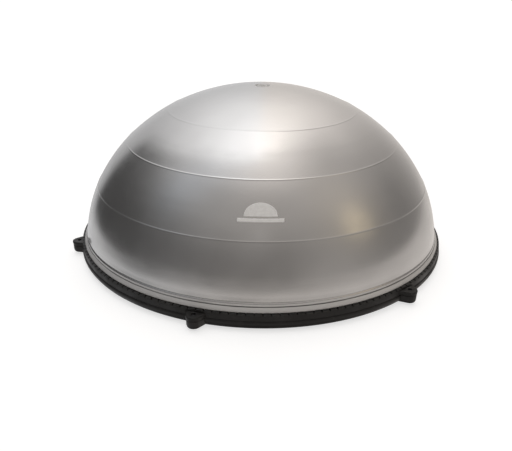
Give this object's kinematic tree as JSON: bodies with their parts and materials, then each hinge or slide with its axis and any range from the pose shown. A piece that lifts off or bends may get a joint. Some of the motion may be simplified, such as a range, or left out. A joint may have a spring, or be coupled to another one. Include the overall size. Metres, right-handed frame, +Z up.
{
  "type": "balance dome trainer",
  "caption": "Inflated silver-grey dome with raised rings, clamped by a toothed black ring with screw ears onto a flat round platform with feet and hand grips.",
  "frame": {"origin": "on the floor under the centre of the platform", "axes": "+Z up through the crown of the dome; +X through the centre of an ear; the hand grips are under +Y and -Y"},
  "size_m": [0.6294, 0.5998, 0.2616],
  "materials": {
    "dome_pvc": "pearl grey inflatable PVC with a soft gloss",
    "platform_plastic": "black moulded polypropylene with a fine grain",
    "rubber": "dark non-marking rubber",
    "screw_steel": "black zinc plated steel",
    "insert_brass": "machined brass",
    "plug_pvc": "grey soft PVC"
  },
  "bodies": {
    "trainer": {"base_plate": "platform_plastic", "tread_disc": "rubber", "clamp_ring": "platform_plastic", "ear_screws": "screw_steel", "ear_inserts": "insert_brass", "bladder_dome": "dome_pvc", "bladder_floor": "dome_pvc", "valve_seat": "dome_pvc", "foot_1": "rubber", "foot_2": "rubber", "foot_3": "rubber", "foot_4": "rubber", "foot_5": "rubber", "foot_6": "rubber"},
    "plug": {"valve_plug": "plug_pvc"}
  },
  "joints": [
    {"name": "plug_pull", "type": "slide", "parent": "trainer", "child": "plug", "axis": [0, 0, 1], "range_m": [0, 0.03]}
  ]
}
